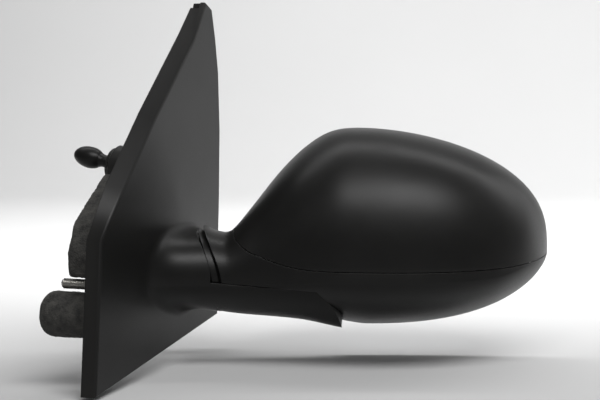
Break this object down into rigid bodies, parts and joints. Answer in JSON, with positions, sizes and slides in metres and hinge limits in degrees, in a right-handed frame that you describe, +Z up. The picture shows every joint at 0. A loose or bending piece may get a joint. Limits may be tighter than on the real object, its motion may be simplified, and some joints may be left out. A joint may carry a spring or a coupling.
{
  "type": "car side mirror",
  "caption": "Manual folding side mirror for a small car's left door: triangular sail panel, arm, rounded head with glass, and an inner adjusting lever.",
  "frame": {"origin": "on the door face of the base bracket, behind the root of the arm", "axes": "+X away from the door, +Y towards the rear of the car, +Z up"},
  "size_m": [0.2712, 0.2235, 0.2225],
  "materials": {
    "grained_black": "fine grained satin black moulding",
    "plain_black": "plain moulded black",
    "foam": "mottled closed-cell foam",
    "cast_metal": "as-cast light alloy",
    "zinc_steel": "zinc-plated",
    "bare_steel": "oiled spring steel",
    "natural_acetal": "natural moulded",
    "mirror_glass": "silvered glass"
  },
  "bodies": {
    "base": {"sail_cover": "grained_black", "arm_bottom_cover": "grained_black", "base_bracket": "cast_metal", "mounting_stud_1": "zinc_steel", "mounting_stud_2": "zinc_steel", "mounting_stud_3": "zinc_steel", "cover_screw_1": "zinc_steel", "cover_screw_2": "zinc_steel", "cover_screw_3": "zinc_steel", "cover_screw_4": "zinc_steel", "cover_screw_5": "zinc_steel", "foam_gasket": "foam", "foam_plug": "foam", "lever_housing": "plain_black", "lever_screw_1": "zinc_steel", "lever_screw_2": "zinc_steel", "cable_stop_base": "natural_acetal", "conduit_base_1": "plain_black", "conduit_base_2": "plain_black", "conduit_base_3": "plain_black", "pivot_tube": "bare_steel", "detent_ring_lower": "bare_steel", "fold_spring": "bare_steel", "spring_seat": "zinc_steel", "spring_clip": "bare_steel"},
    "head": {"head_housing": "grained_black", "upper_cap": "grained_black", "head_bracket": "cast_metal", "cable_stop_head": "natural_acetal", "conduit_head_1": "plain_black", "conduit_head_2": "plain_black", "conduit_head_3": "plain_black", "bracket_screw_1": "zinc_steel", "bracket_screw_2": "zinc_steel", "bracket_screw_3": "zinc_steel", "detent_ring_upper": "bare_steel"},
    "lever_pin": {"lever_cross_pin": "bare_steel"},
    "lever": {"lever_stick": "plain_black", "lever_knob": "grained_black", "wire_lever_1": "bare_steel", "wire_lever_2": "bare_steel", "wire_lever_3": "bare_steel"},
    "glass_pin": {"glass_cross_pin": "bare_steel"},
    "glass": {"glass_carrier": "plain_black", "mirror_glass": "mirror_glass", "wire_glass_1": "bare_steel", "wire_glass_2": "bare_steel", "wire_glass_3": "bare_steel"}
  },
  "joints": [
    {"name": "fold", "type": "hinge", "parent": "base", "child": "head", "pos_m": [0.07386, 0.02688, -0.0511], "axis": [0.0737, 0.0268, 0.9969], "range_deg": [-50, 70]},
    {"name": "glass_pan", "type": "hinge", "parent": "head", "child": "glass_pin", "pos_m": [0.13223, 0.06941, -0.018], "axis": [0, 0, 1], "range_deg": [-7, 7]},
    {"name": "glass_tilt", "type": "hinge", "parent": "glass_pin", "child": "glass", "pos_m": [0.13223, 0.06941, -0.018], "axis": [0.9397, 0.342, 0], "range_deg": [-7, 7]},
    {"name": "lever_pan", "type": "hinge", "parent": "base", "child": "lever_pin", "pos_m": [-0.021, -0.016, 0.022], "axis": [0.2079, 0, 0.9781], "range_deg": [-10, 10]},
    {"name": "lever_tilt", "type": "hinge", "parent": "lever_pin", "child": "lever", "pos_m": [-0.021, -0.016, 0.022], "axis": [0, 1, 0], "range_deg": [-10, 10]}
  ],
  "couplings": [
    {"joint": "lever_pan", "follows": "glass_pan", "ratio": 1.4},
    {"joint": "lever_tilt", "follows": "glass_tilt", "ratio": 1.4}
  ]
}
